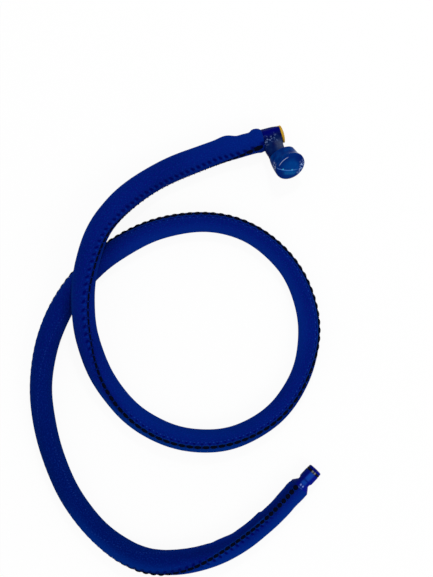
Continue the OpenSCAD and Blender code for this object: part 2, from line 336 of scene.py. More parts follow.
# %% Meshes from arrays
def new_mesh(name, points, faces=()):
    mesh = bpy.data.meshes.new(name)
    mesh.from_pydata(np.asarray(points).tolist(), [], [tuple(face) for face in faces])
    return mesh


def new_piece(name, points, faces, finish, body):
    """A smooth piece from points in millimetres, riding on a body."""
    mesh = new_mesh(name, np.asarray(points) * MM, faces)
    mesh.polygons.foreach_set("use_smooth", [True] * len(mesh.polygons))
    mesh.materials.append(finish.material)
    mesh.validate()
    piece = add_object(name, mesh)
    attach(piece, body)
    return piece


def ring_faces(rings, sides, closed=True):
    """Faces of a grid of rings, turned outwards for rings that run along the hose."""
    i, j = np.meshgrid(np.arange(rings if closed else rings - 1), np.arange(sides),
                       indexing="ij")
    i, j = i.ravel(), j.ravel()
    after, beside = (i + 1) % rings, (j + 1) % sides
    return np.column_stack([i * sides + j, after * sides + j, after * sides + beside,
                            i * sides + beside]), i, j


def add_uv(mesh, name, u_first, u_next, v_first, v_next):
    """A UV map for ring_faces: one value each for a face's two rings and two sides."""
    corners = np.column_stack([u_first, v_first, u_next, v_first,
                               u_next, v_next, u_first, v_next])
    mesh.uv_layers.new(name=name).data.foreach_set("uv", corners.ravel())


print("mesh helpers ready")

# %% [markdown]
# ## The sleeve's cloth
# The sleeve is foam faced with fine blue jersey. Seen close, the knit is a speckle of slightly
# lighter and darker loops. Light and shade are painted into its colour as well: the side of a bend
# that faces the light is painted lighter, a painted shadow lies on the last turn, and the hose is
# painted lighter by the elbow and darker from 650 to 960 mm. An image of cloth would slide on the
# bends, so the pattern is worked out from two UV maps, one in millimetres of cloth and one in
# stitches and degrees from the seam, and from values that the mesh carries.

# %% Finish of the sleeve: the knit
jersey = Finish("blue_jersey", Roughness=0.95, Specular_IOR_Level=0.0, Sheen_Weight=0.06,
                Sheen_Roughness=0.5, Sheen_Tint=(0.02, 0.45, 0.8, 1))
cloth = jersey.node("ShaderNodeUVMap", {"uv_map": "cloth"})[0]
length, girthwise, _ = jersey.split(cloth)
count, degrees, _ = jersey.split(jersey.node("ShaderNodeUVMap", {"uv_map": "stitch"})[0])
lean, cut_edge, outer_row, inner_row, second_row = (
    jersey.node("ShaderNodeAttribute", {"attribute_name": label})[2]
    for label in ("lean", "cut_edge", "outer_row", "inner_row", "second_row"))


def cloth_noise(scale, detail=2.0):
    return jersey.node("ShaderNodeTexNoise", {},
                       {"Vector": cloth, "Scale": scale, "Detail": detail})[0]


def stretch(start, full, fading, end):
    """1 on a stretch of the hose, with soft ends."""
    return length.fade(start, full) * length.fade(end, fading)


loops, fuzz = cloth_noise(1.15, 1.0), cloth_noise(3.1)
drift, heather = cloth_noise(0.03), cloth_noise(0.6)
near_bend, far_bend = stretch(225, 270, 340, 400), stretch(400, 450, 610, 660)
shadow = length.fade(890, 950) * lean.fade(-0.1, 0.5) * lean.fade(1.0, 0.65)
blue = jersey.coats(
    (1, 20, 102),
    (drift.fade(0.3, 0.7), (2, 24, 110)),
    (heather.fade(0.46, 0.62) * 0.7, (9, 13, 108)),
    # Painted shade: the hose is painted darker from 650 to 960 mm.
    (stretch(650, 800, 880, 960) * 0.8, (0, 16, 86)),
    # Painted light: the first 90 mm by the elbow are painted lighter.
    (length.fade(90, 0) * 0.5, (2, 36, 128)),
    (loops.fade(0.5, 0.75) * 0.5, (12, 50, 142)),
    (fuzz.fade(0.5, 0.28) * 0.5, (0, 10, 74)),
    # Painted light: on the bends the side that faces the light is painted lighter, and on the last
    # turn a painted shadow darkens one side.
    (near_bend * lean.fade(-0.2, 0.5) * 0.35, (0, 38, 122)),
    (near_bend * lean.fade(-0.5, -0.72) * 0.5, (2, 54, 142)),
    (far_bend * lean.fade(-0.2, 0.95) * 0.55, (4, 42, 138)),
    (length.fade(815, 860) * lean.fade(0.2, -0.8) * 0.55, (0, 44, 136)),
    (shadow * 0.45, (0, 10, 62)),
    (stretch(860, 890, 915, 940) * abs(degrees - 6).fade(26, 8) * 0.6, (3, 7, 72)))
print("knit has", len(jersey.tree.nodes), "nodes")

# %% [markdown]
# ### Marks of the needle
# The needle left a row of slanted dark bars on the outer side of the seam and a row of dots on its
# inner side. A lighter strip under the crossing threads is a painted highlight, and so are the lit
# dashes between the bars, the glints beside them and the pale dots beside the row of dots. A faint
# line of pale specks wanders round the side away from the seam. Modelling each prick would cost
# thousands of faces, so they are ovals in the finish, counted by the stitches.

# %% Finish of the sleeve: the rows of pricks
MM_PER_DEGREE = 0.14
BAR_SLANT = 0.014
LOOP_WIDE, LOOP_LONG = 0.55, 0.5


def row(where, off, long, wide):
    """Distance from the nearest prick of a row, 1 at its rim."""
    return ((off / long) ** 2 + ((degrees - where) * MM_PER_DEGREE / wide) ** 2) ** 0.5


off_stitch = (count + 0.5).math("FRACT") - 0.5
off_half = (count * 2 + 0.5).math("FRACT") - 0.5
between = (count + 0.1).math("FRACT") - 0.5
slanted = off_stitch + (degrees - outer_row) * BAR_SLANT

bars_on = length.fade(245, 210) + stretch(925, 945, 985, 1005)
dots_on, late_dots = stretch(262, 280, 610, 640), stretch(872, 886, 930, 950)
specks_on = stretch(680, 695, 910, 925) * heather.fade(0.35, 0.55)
specks_on = specks_on * abs(length - 777).fade(0.5, 2.5) * abs(length - 845).fade(1, 4)
first_bend = length.fade(135, 110)

# Painted highlight: a lighter strip beside the seam, under the crossing threads.
strip = abs(abs(degrees) - 8 - far_bend * 3).fade(5, 2)
bar = row(outer_row, slanted, 0.28 + first_bend * 0.12, 2.0 + first_bend * 0.5).fade(1.0, 0.35)
dot = row(inner_row, off_stitch, 0.24 + late_dots * 0.12, 1.1 + late_dots * 1.3).fade(1.0, 0.4)
prick = bar * bars_on + dot * (dots_on + late_dots)
# Painted highlights: lit dashes between the bars, glints beside them and pale dots beside the row
# of dots.
lit = row(outer_row + 5, between, 0.22, 1.6).fade(1.0, 0.2) * bars_on
glint = row(outer_row + 11, slanted + 0.05, 0.12, 0.45).fade(1.0, 0.3) * bars_on * heather
pale = row(inner_row + 6, off_half, 0.25, 0.5).fade(1.0, 0.3) * dots_on * (heather + 0.3)
speck = row(second_row, off_half, 0.22, 0.45).fade(1.0, 0.2) * specks_on
jersey.show(Base_Color=jersey.coats(
    blue,
    # The strip, lit, glint and pale layers are painted highlights.
    (strip * (dots_on + length.fade(915, 950) * 0.7) * 0.55, (6, 62, 144)),
    (lit * 0.45, (1, 48, 142)),
    (glint * 0.55, (46, 76, 168)),
    (pale * 0.8, (26, 70, 160)),
    (prick * 0.95, (2, 3, 84)),
    (speck * 0.7, (34, 66, 146)),
    (cut_edge.fade(0.4, 0.6), (14, 14, 18))))

knit = abs((girthwise / LOOP_WIDE).math("FRACT") - 0.5)
knit = knit + abs((length / LOOP_LONG).math("FRACT") - 0.5)
jersey.relief(loops * 0.6 + fuzz * 0.5 + knit * 0.35 - prick * 1.6, 0.16)
print("sleeve finish has", len(jersey.tree.nodes), "nodes")

# %% [markdown]
# ## The padded sleeve
# The sleeve could be a curve with a round bevel, but a real one is never that even: the foam
# swells to lips beside the seam, each stitch draws the cloth in, it folds beside the fittings, and
# the cut ends are rounded. So it is a grid of rings, six for each stitch, with more columns near
# the seam, and its radius is the girth plus small swellings and dents. Three tables say how many
# degrees from the seam the rows of pricks lie, length by length.

# %% Relief of the sleeve
OUTER_ROW = [(0, -9), (12, -12), (22, -26), (34, -42), (60, -48.5), (92, -47.5), (102, -43),
             (112, -36), (124, -30), (150, -25), (192, -24), (205, -22), (215, -17), (225, -11),
             (250, -8), (930, -13), (945, -16), (1000, -15)]
INNER_ROW = [(0, 19), (420, 19), (450, 22), (640, 22), (870, 36), (888, 28), (896, 22), (904, 17),
             (912, 14), (930, 12)]
SECOND_ROW = [(690, 134), (717, 115), (734, 106), (747, 103), (761, 93), (776, 82), (778, 140),
              (843, 140), (847, 82), (853, 86), (872, 106), (893, 117), (907, 122)]
DENTED_TO = 250
END_ROUND, END_SOFT = 1.4, 1.5


def bump_at(value, middle_at, width):
    return np.exp(-((value - middle_at) / width) ** 2)


def rise_at(value, middle_at, width):
    return 1 / (1 + np.exp(np.clip((middle_at - value) / width, -50, 50)))


def lean_at(s, angle):
    """-1 on the right of the hose, 0 on its top and 1 on its left."""
    return np.sin(np.radians(on_line(s, fine[:, 4]) + angle))


def sleeve_relief(s, angle):
    """How far the cloth stands proud of its girth, in the grid of lengths and angles."""
    k = on_line(s, stitch)[:, None]
    s, back = s[:, None], HOSE_LENGTH - s[:, None]
    near = np.abs(angle)[None, :]
    sway = 0.09 * np.sin(s / 5.9 + np.radians(angle))
    sway = (sway + 0.08 * np.sin(s / 9.1 - np.radians(2 * angle))) * (1 - bump_at(near, 0, 30))
    lips = 0.12 * bump_at(near, 14, 6) - 0.4 * bump_at(near, 0, 6)
    drawn = -0.12 * np.cos(2 * np.pi * k) * bump_at(near, 14, 9)
    pricks = -0.3 * bump_at(angle[None, :], looked_up(OUTER_ROW, s), 6)
    pricks = pricks * bump_at(k - np.round(k), 0, 0.12) * (s < DENTED_TO)
    side = lean_at(s, angle)
    right, left = np.clip(-side, 0, 1), np.clip(side, 0, 1)
    by_elbow = right * (0.6 * bump_at(s, 3.5, 2.5) - 0.25 * bump_at(s, 16, 2.5)
                        - 1.05 * (rise_at(s, 6.3, 0.4) - rise_at(s, 19, 1.2))
                        + bump_at(s, 25, 5))
    by_elbow += left * (0.5 * bump_at(s, 2.5, 1.6) + 0.25 * bump_at(s, 19, 7))
    by_plug = left * (1.1 * np.clip((55 - back) / 22, 0, 1) * rise_at(back, 31.6, 0.4)
                      - 0.4 * bump_at(back, 59, 4) - 0.35 * bump_at(back, 75, 3)
                      - 0.4 * bump_at(back, 20, 6) + 0.25 * bump_at(back, 4, 2))
    by_plug -= right * (0.3 * bump_at(back, 39, 8) + 0.35 * bump_at(back, 11, 4))
    return sway + lips + drawn + pricks + by_elbow + by_plug


def end_round(s, side):
    """The cut ends draw in over their last millimetres, more on one side."""
    drawn = 0
    for from_end, soft in ((s + CUFF, -side), (HOSE_LENGTH + CUFF - s, side)):
        size = END_ROUND + END_SOFT * np.clip(soft, 0, 1)
        x = np.clip(1 - from_end[:, None] / size, 0, 1)
        drawn = drawn + size * (1 - np.sqrt(1 - x ** 2 + 1e-9))
    return drawn


print("rows of pricks:", len(OUTER_ROW), len(INNER_ROW), len(SECOND_ROW), "places")

# %% [markdown]
# ### The sleeve's mesh
# The rings run along the outside of the sleeve and back through its bore, so that the wall has its
# thickness and the mesh is closed. The finish needs to know where it is: the UV maps give it the
# cloth and the stitches, and five values on the points give the cut edges, the side of the hose
# and the rows of pricks.

# %% Sleeve
SLEEVE_BORE_R = 5.05
SLEEVE_COLUMNS, RINGS_PER_STITCH, BORE_RINGS = 48, 6, 160
END_RINGS = np.array([0.12, 0.35, 0.7, 1.1, 1.7, 2.4])
LOWEST = 0.02

x = np.linspace(-1, 1, SLEEVE_COLUMNS, endpoint=False)
columns = 180 * (0.5 * x + 0.5 * x ** 3)
counts = np.linspace(0, STITCHES, STITCHES * RINGS_PER_STITCH + 1)
outer_s = np.sort(np.concatenate([np.interp(counts, stitch, along), END_RINGS - CUFF,
                                  HOSE_LENGTH + CUFF - END_RINGS]))
inner_s = np.linspace(HOSE_LENGTH + CUFF, -CUFF, BORE_RINGS)
radius = on_line(outer_s, girth)[:, None] + sleeve_relief(outer_s, columns)
radius -= end_round(outer_s, lean_at(outer_s[:, None], columns))
ring_s = np.concatenate([outer_s, inner_s])
ring_r = np.concatenate([radius, np.full((BORE_RINGS, SLEEVE_COLUMNS), SLEEVE_BORE_R)])
grid_s, grid_angle = np.repeat(ring_s, SLEEVE_COLUMNS), np.tile(columns, len(ring_s))
points = round_hose(grid_s, ring_r.ravel(), grid_angle)
points[:, 2] = np.maximum(points[:, 2], LOWEST)
faces, ring, column = ring_faces(len(ring_s), SLEEVE_COLUMNS)
sleeve = new_piece("padded_sleeve", points, faces, jersey, "hose")

next_ring = (ring + 1) % len(ring_s)
edges = np.append(columns, 180.0)
ring_k = on_line(ring_s, stitch)
add_uv(sleeve.data, "stitch", ring_k[ring], ring_k[next_ring], edges[column], edges[column + 1])
arc = edges * MM_PER_DEGREE
add_uv(sleeve.data, "cloth", ring_s[ring], ring_s[next_ring], arc[column], arc[column + 1])
is_cut = np.ones((len(ring_s), SLEEVE_COLUMNS))
is_cut[1:len(outer_s) - 1] = 0
for label, values in (("cut_edge", is_cut.ravel()), ("lean", lean_at(grid_s, grid_angle)),
                      ("outer_row", looked_up(OUTER_ROW, grid_s)),
                      ("inner_row", looked_up(INNER_ROW, grid_s)),
                      ("second_row", looked_up(SECOND_ROW, grid_s))):
    data = sleeve.data.attributes.new(label, "FLOAT", "POINT").data
    data.foreach_set("value", values.astype(np.float32))
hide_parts("insulation_sleeve")
print("sleeve faces", len(faces))

# %% [markdown]
# ## The water tube
# A clear tube runs inside the sleeve from one fitting to the other. Only its ends could ever show,
# so it is a plain pipe with a wall, swept along the same line.

# %% Water tube
TUBE_R = 4.75
TUBE_BORE_R = 3.2
TUBE_SIDES, TUBE_RINGS = 24, 260

clear_tube = Finish("clear_tube", Roughness=0.2, IOR=1.5, Transmission_Weight=0.6)
haze = clear_tube.noise(6, 3.0)
clear_tube.show(Base_Color=clear_tube.coats((150, 180, 205), (haze, (190, 210, 225))))

tube_s = np.linspace(0, HOSE_LENGTH, TUBE_RINGS)
pipe_s = np.concatenate([tube_s, tube_s[::-1]])
pipe_r = np.repeat([TUBE_R, TUBE_BORE_R], TUBE_RINGS)
turns = np.linspace(-180, 180, TUBE_SIDES, endpoint=False)
points = round_hose(np.repeat(pipe_s, TUBE_SIDES), np.repeat(pipe_r, TUBE_SIDES),
                    np.tile(turns, len(pipe_s)))
water_tube = new_piece("water_tube", points, ring_faces(len(pipe_s), TUBE_SIDES)[0], clear_tube,
                       "hose")
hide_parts("drink_tube")
print("water tube faces", len(water_tube.data.polygons))

# %% [markdown]
# ## The sewn seam
# Where the two edges of the sleeve meet, black foam swells out between the stitches like a row of
# beads, and strands of blue thread cross it from prick to prick. Both repeat over two hundred
# times, so Geometry Nodes place them: a mesh of bare points says where each stitch is, and its
# attributes give its directions and size. One tree sets a shape on every point, makes the copies
# real and gives them their finish.

# %% Points for the stitches
BEAD_WIDTH = [(0, 4.4), (9, 3.9), (16, 3.3), (26, 2.3), (130, 2.2), (165, 1.7), (190, 1.2),
              (215, 1.1), (235, 1.9), (255, 2.9), (330, 2.8), (420, 2.9), (450, 3.2), (500, 3.6),
              (600, 3.6), (640, 2.8), (680, 2.2), (900, 2.4), (930, 2.7), (960, 2.4), (985, 2.7),
              (1000, 3.3), (1020, 3.8)]
BEAD_SWELL = [(420, 0), (440, 0.3), (655, 0.3), (680, 0), (888, 0), (895, 0.5), (908, 0.5),
              (914, 0)]
BEAD_PRESSED = [(20, 1), (40, 0.3), (115, 0.3), (135, 1)]
BEAD_SUNK, BEAD_SHARE, LONGEST_BEAD = 0.05, 0.45, 3.8
THREAD_SHARE, THREAD_WIDE, THREAD_TALL = 0.09, 2.1, 0.45


def stitch_points(name, counts, height, long, wide, tall):
    """Points on the seam, with their directions and sizes as attributes."""
    s = np.interp(counts, stitch, along)
    seam_r = on_line(s, girth) + height
    spots, ahead, behind = (round_hose(s + step, seam_r, np.zeros(len(s)))
                            for step in (0, 0.5, -0.5))
    size = np.column_stack(np.broadcast_arrays(long, wide, tall)) * MM
    mesh = new_mesh(name, spots * MM)
    for label, rows in (("along", unit(ahead - behind)), ("size", size),
                        ("outward", unit(spots - on_line(s, middle)))):
        data = mesh.attributes.new(label, "FLOAT_VECTOR", "POINT").data
        data.foreach_set("vector", rows.astype(np.float32).ravel())
    return add_object(name, mesh)


def seam_step(counts):
    """The distance between stitches, measured on the seam itself."""
    s = np.interp(np.concatenate([counts - 0.5, counts + 0.5]), stitch, along)
    rim = round_hose(s, on_line(s, girth), np.zeros(len(s)))
    return np.linalg.norm(rim[len(counts):] - rim[:len(counts)], axis=1)


bead_counts, thread_counts = np.arange(STITCHES) + 0.5, np.arange(1, STITCHES)
bead_at = np.interp(bead_counts, stitch, along)
bead_wide = looked_up(BEAD_WIDTH, bead_at) / 2
bead_tall = 0.45 + 0.25 * bead_wide + looked_up(BEAD_SWELL, bead_at)
bead_points = stitch_points("foam_beads", bead_counts, -BEAD_SUNK, wide=bead_wide,
                            tall=bead_tall * looked_up(BEAD_PRESSED, bead_at),
                            long=np.minimum(BEAD_SHARE * seam_step(bead_counts), LONGEST_BEAD))
thread_points = stitch_points("crossing_threads", thread_counts, 0.0, wide=THREAD_WIDE,
                              tall=THREAD_TALL, long=THREAD_SHARE * seam_step(thread_counts))
print("beads", len(bead_counts), "threads", len(thread_counts))

# %% A tree that sets a shape on every stitch
def settled(holder):
    """The mesh of an object with its modifiers worked in."""
    graph = bpy.context.evaluated_depsgraph_get()
    return bpy.data.meshes.new_from_object(holder.evaluated_get(graph), depsgraph=graph)


class Growth(Graph):
    """A Geometry Nodes tree with named inputs for its sizes."""

    def __init__(self, name, **inputs):
        super().__init__(bpy.data.node_groups.new(name, "GeometryNodeTree"))
        face = self.tree.interface
        face.new_socket("Geometry", in_out="INPUT", socket_type="NodeSocketGeometry")
        face.new_socket("Geometry", in_out="OUTPUT", socket_type="NodeSocketGeometry")
        self.ids = {}
        for label, kind in inputs.items():
            socket = face.new_socket(label, in_out="INPUT", socket_type="NodeSocket" + kind)
            self.ids[label] = socket.identifier
        entry = self.tree.nodes.new("NodeGroupInput")
        self.given = {socket.name: Wire(self, socket) for socket in entry.outputs if socket.name}

    def read(self, label):
        return self.node("GeometryNodeInputNamedAttribute", {"data_type": "FLOAT_VECTOR"},
                         {"Name": label})[0]

    def set_on_points(self, shape, finish):
        """Sets the shape on every point by its attributes, and makes the copies real."""
        turn = self.node("FunctionNodeAxesToRotation",
                         {"primary_axis": "Z", "secondary_axis": "X"},
                         {"Primary Axis": self.read("outward"),
                          "Secondary Axis": self.read("along")})[0]
        copies = self.node("GeometryNodeInstanceOnPoints", {},
                           {"Points": self.given["Geometry"], "Instance": shape,
                            "Rotation": turn, "Scale": self.read("size")})[0]
        real = self.node("GeometryNodeRealizeInstances", {}, {"Geometry": copies})[0]
        done = self.node("GeometryNodeSetMaterial", {},
                         {"Geometry": real, "Material": finish.material})[0]
        self.join(done, self.tree.nodes.new("NodeGroupOutput").inputs[0])

    def grow(self, holder, body, slot, **inputs):
        """Runs the tree on a piece's points and keeps the result as a plain mesh."""
        step = holder.modifiers.new("grow", "NODES")
        step.node_group = self.tree
        for label, value in inputs.items():
            step[self.ids[label]] = value
        grown = settled(holder)
        holder.modifiers.remove(step)
        holder.data = grown
        grown.polygons.foreach_set("use_smooth", [True] * len(grown.polygons))
        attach(holder, body)
        print(holder.name, "faces", len(grown.polygons))
        return holder


print("growth helper ready")

# %% [markdown]
# ### Foam beads
# A bead is a flattened ball: long along the seam, narrow across it, and sunk to a third in the
# cloth. A coarse ball is enough, because over two hundred of them share the picture.

# %% Foam beads
black_foam = Finish("black_foam", Roughness=0.95, Specular_IOR_Level=0.02)
cells = black_foam.noise(0.6, 3.0)
black_foam.show(Base_Color=black_foam.coats((1, 3, 16), (cells, (6, 10, 34))))
black_foam.relief(cells, 0.15)

bead_row = Growth("foam_bead_row", Around="Int", Rows="Int")
ball = bead_row.node("GeometryNodeMeshUVSphere", {},
                     {"Segments": bead_row.given["Around"], "Rings": bead_row.given["Rows"],
                      "Radius": 1.0})[0]
bead_row.set_on_points(ball, black_foam)
foam_beads = bead_row.grow(bead_points, "hose", "seam", Around=12, Rows=7)
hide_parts("seam_thread")

# %% [markdown]
# ### Crossing threads
# The strands start apart at the needle pricks of one side, draw together on the crest between two
# beads, and part again. Each strand begins as a straight line over the seam. The tree copies it,
# spreads the copies except near the crest, arches them over the ridge, and gives them a section.

# %% Crossing threads
blue_thread = Finish("blue_thread", Roughness=0.8, Specular_IOR_Level=0.02)
ply = blue_thread.noise(0.35)
blue_thread.show(Base_Color=blue_thread.coats((1, 20, 96), (ply, (8, 44, 136))))
blue_thread.relief(ply, 0.1)

ARCH_TOP = 1.15
ARCH_DROP = 3.3
CREST_SPREAD = 0.3

crossing = Growth("crossing_threads", Strands="Int", Thread="Float", Bends="Int")
line = crossing.node("GeometryNodeCurvePrimitiveLine", {},
                     {"Start": (0, -1, 0), "End": (0, 1, 0)})[0]
line = crossing.node("GeometryNodeResampleCurve", {},
                     {"Curve": line, "Count": crossing.given["Bends"]})[0]
lines, nth = crossing.node("GeometryNodeDuplicateElements", {"domain": "SPLINE"},
                           {"Geometry": line, "Amount": crossing.given["Strands"]})
across = crossing.split(crossing.node("GeometryNodeInputPosition")[0])[1]
lane = nth / (crossing.given["Strands"] - 1) * 2 - 1
spread = CREST_SPREAD + abs(across).fade(0.05, 0.42) * (1 - CREST_SPREAD)
shifts = crossing.node("ShaderNodeCombineXYZ", {},
                       {"X": lane * spread, "Z": ARCH_TOP - across * across * ARCH_DROP})[0]
lines = crossing.node("GeometryNodeSetPosition", {}, {"Geometry": lines, "Offset": shifts})[0]
section = crossing.node("GeometryNodeCurvePrimitiveCircle", {},
                        {"Resolution": 3, "Radius": crossing.given["Thread"]})[0]
strands = crossing.node("GeometryNodeCurveToMesh", {},
                        {"Curve": lines, "Profile Curve": section, "Fill Caps": True})[0]
crossing.set_on_points(strands, blue_thread)
threads = crossing.grow(thread_points, "hose", "seam", Strands=5, Thread=0.14, Bends=7)

# %% [markdown]
# ## Turned and moulded forms
# The fittings are moulded plastic. A turned form is a profile swept round an axis, with its
# corners rounded, because no moulded edge is sharp. Where two forms meet, as in the elbow, they
# are joined, hollowed, and remeshed with fine voxels. A little smoothing then leaves a fillet in
# the corner, as the mould does.

# %% Turned forms
def rounded(corners, loop=False, steps=5):
    """A profile from corners (x, r, rounding), with arcs in the rounded ones."""
    path = []
    for i, (x, y, size) in enumerate(corners):
        here = np.array((x, y), float)
        if size == 0 or (not loop and i in (0, len(corners) - 1)):
            path.append(here)
            continue
        back = unit(np.array(corners[i - 1][:2], float) - here)
        ahead = unit(np.array(corners[(i + 1) % len(corners)][:2], float) - here)
        half = np.arccos(np.clip(back @ ahead, -1, 1)) / 2
        centre = here + unit(back + ahead) * size / np.sin(half)
        first = here + back * size / np.tan(half) - centre
        last = here + ahead * size / np.tan(half) - centre
        for share in np.linspace(0, 1, steps):
            path.append(centre + unit(first * (1 - share) + last * share) * size)
    return np.array(path)


def placed(points, place):
    """Points moved from a place's own axes to the object's."""
    turn = np.array(place)
    return np.asarray(points) @ turn[:3, :3].T + turn[:3, 3]


def oval(x, wide, high, sides, aside=0.0):
    """A ring of points round the X axis."""
    angle = np.linspace(0, 2 * np.pi, sides, endpoint=False)
    return np.column_stack([np.full(sides, x), aside + wide * np.cos(angle),
                            high * np.sin(angle)])


def capped_faces(rings, sides):
    """Faces of a row of rings whose first and last ring are closed."""
    side = np.arange(sides)
    return ring_faces(rings, sides, False)[0].tolist() + [
        side[::-1].tolist(), (side + (rings - 1) * sides).tolist()]


def turned(profile, place, sides=96, loop=True):
    """Points and faces of a profile (x, r) turned about the X axis of a place."""
    rows = profile if loop else profile[1:-1]
    points = np.vstack([oval(x, r, r, sides) for x, r in rows])
    faces = ring_faces(len(rows), sides, loop)[0].tolist()
    if not loop:
        first, last = len(points), len(points) + 1
        points = np.vstack([points, [(profile[0, 0], 0, 0), (profile[-1, 0], 0, 0)]])
        top = (len(rows) - 1) * sides
        for j in range(sides):
            faces.append((first, j, (j + 1) % sides))
            faces.append((last, top + (j + 1) % sides, top + j))
    return placed(points, place), faces


print("turning helpers ready")


# %% Moulded forms
def loose(points, faces):
    """An object in millimetres for the joining steps, with its faces turned outwards."""
    mesh = new_mesh("loose", points, faces)
    work = bmesh.new()
    work.from_mesh(mesh)
    bmesh.ops.recalc_face_normals(work, faces=work.faces)
    work.to_mesh(mesh)
    work.free()
    return add_object("loose", mesh)


def moulded(solids, hollows, voxel, softening):
    """Joins solids, cuts hollows, remeshes and softens: returns points and faces."""
    holders = [loose(*form) for form in (*solids, *hollows)]
    for i, other in enumerate(holders[1:], 1):
        step = holders[0].modifiers.new("join", "BOOLEAN")
        step.operation = "UNION" if i < len(solids) else "DIFFERENCE"
        step.object = other
    step = holders[0].modifiers.new("remesh", "REMESH")
    step.mode, step.voxel_size = "VOXEL", voxel
    step = holders[0].modifiers.new("soften", "SMOOTH")
    step.factor, step.iterations = 0.5, softening
    mesh = settled(holders[0])
    points = np.empty(len(mesh.vertices) * 3)
    mesh.vertices.foreach_get("co", points)
    faces = [tuple(face.vertices) for face in mesh.polygons]
    for holder in holders:
        bpy.data.objects.remove(holder)
    return points.reshape(-1, 3), faces


print("moulding helpers ready")

# %% [markdown]
# ### Where the fittings stand
# The elbow stands on the first end of the hose and the plug on the last, each with its X axis
# leading away from the hose. The outlet leaves the elbow to the side, a little upwards, and the
# mouthpiece's head is tilted further up. These places are the CAD model's.

# %% Places of the fittings
OUTLET_AT, OUTLET_LEAN, OUTLET_ROLL = 5.2, 10, 22
NECK_LENGTH = 15.2
MOUTH_SHIFT, MOUTH_GAP, HEAD_TURN, HEAD_TILT = 2.6, 0.2, 82, 19


def turn(angle, axis):
    """A turn by an angle in degrees about an axis through the origin."""
    return Matrix.Rotation(math.radians(angle), 4, axis)


def hose_end(end, inner):
    """The place of a fitting on an end row of the route, facing away from the row beside it."""
    heading = math.degrees(math.atan2(end[1] - inner[1], end[0] - inner[0]))
    spot = (end[0] - FOOTPRINT[0], end[1] - FOOTPRINT[1], end[3] * SLEEVE_R)
    return Matrix.Translation(spot) @ turn(heading, "Z")


elbow_place = hose_end(ROUTE[0], ROUTE[1])
plug_place = hose_end(ROUTE[-1], ROUTE[-2])
outlet_place = (elbow_place @ turn(-OUTLET_ROLL, "X") @ Matrix.Translation((OUTLET_AT, 0, 0))
                @ turn(OUTLET_LEAN, "Z") @ turn(-90, "Z"))
mouth_place = outlet_place @ Matrix.Translation((NECK_LENGTH + MOUTH_GAP, MOUTH_SHIFT, 0))
print("elbow at", [round(c, 2) for c in elbow_place.translation])

# %% [markdown]
# ## The shut-off elbow
# The elbow is dark indigo plastic. Its barrel holds the shut-off plug, a barbed stem goes into the
# water tube, and the neck carries the mouthpiece on a spigot with a bead. The neck is darker, with
# clouds in it for the depth of the clear plastic. Light is painted into the colour too: pale
# flecks near the neck's root are painted glints, one side of the neck is painted pale where it is
# lit, and a lighter band along the side of the barrel is a painted reflection.

# %% Finish of the elbow
indigo = Finish("indigo_plastic", Roughness=0.12, Specular_IOR_Level=0.005)
neck_axis = outlet_place.to_3x3().col[0]
down_neck = indigo.reach(outlet_place.translation, neck_axis)
across_neck = indigo.reach(outlet_place.translation, (-neck_axis.y, neck_axis.x, 0))
beside_barrel = indigo.reach(elbow_place.translation, elbow_place.to_3x3().col[1])
fleck = indigo.noise(1.5, 3.0).fade(0.5, 0.64)
cloud = indigo.noise(5.0, 2.0).fade(0.35, 0.7)
on_neck = down_neck.fade(-0.5, 3.5)
# Painted light: one side of the neck is painted pale where it is lit.
lit_neck_side = across_neck.fade(-0.5, 5) * down_neck.fade(4.5, 9.5)
# Painted glints: pale flecks near the neck's root.
fleck_glints = fleck * on_neck * down_neck.fade(9, 4) * across_neck.fade(6, 2)
indigo.show(Roughness=0.16 + cloud * 0.12, Base_Color=indigo.coats(
    (1, 5, 96),
    (on_neck, (2, 12, 70)),
    (cloud * on_neck * 0.6, (14, 42, 94)),
    (lit_neck_side * (0.65 + fleck * 0.3), (68, 80, 108)),
    # Painted reflection: a lighter band along the side of the barrel.
    (beside_barrel.fade(5.2, 6.2) * 0.8, (18, 34, 82)),
    (fleck_glints * 0.75, (110, 135, 190))))
indigo.relief(indigo.noise(1.2), 0.03)
print("elbow finish has", len(indigo.tree.nodes), "nodes")

# %% [markdown]
# ### The elbow's form
# Two turned forms make the elbow, the barrel with its barbs and the neck with its spigot. An oval
# flare leads from the barrel into the neck, and a low rib that tapers runs along the side of the
# barrel away from the neck. The bores are cut last.

# %% Elbow
BARREL_R, BARREL_LENGTH, BARREL_FLOOR = 6.15, 13.8, 1.2
PLUG_BORE_R, PASSAGE_R, OUTLET_BORE_R = 4.05, 2.0, 1.9
NECK_ROOT_R, NECK_R = 5.45, 6.6
SPIGOT_R, SPIGOT_END, BEAD_R, BEAD_FROM, BEAD_TO = 4.5, 23.2, 5.0, 21.3, 22.5
BARB_LENGTH, BARB_LOW, BARB_HIGH, BARBS = 14, 2.8, 3.6, 3
NECK_FLARE = [(2, 7.8, 5.0), (4, 8.1, 5.0), (6, 8.0, 5.2), (7, 7.7, 5.4), (8, 7.3, 5.6),
              (9, 6.95, 5.9), (10, 6.75, 6.1), (12, 6.55, 6.3)]
RIB = [(0.3, 7.0), (4, 7.0), (8, 6.95), (10, 6.8), (12, 6.5), (13.6, 6.1)]
RIB_WIDE, RIB_HIGH, FLARE_FROM, OVAL_SIDES = 4, 2.6, 0.15, 64


def barbs(first_r):
    """Profile of a barbed stem, from its tip on the axis side to its root at x = 0."""
    step = BARB_LENGTH / BARBS
    path = [(-BARB_LENGTH, first_r, 0)]
    for k in range(BARBS, 0, -1):
        path += [(-k * step, BARB_LOW, 0), (-(k - 1) * step, BARB_HIGH, 0)]
    return path


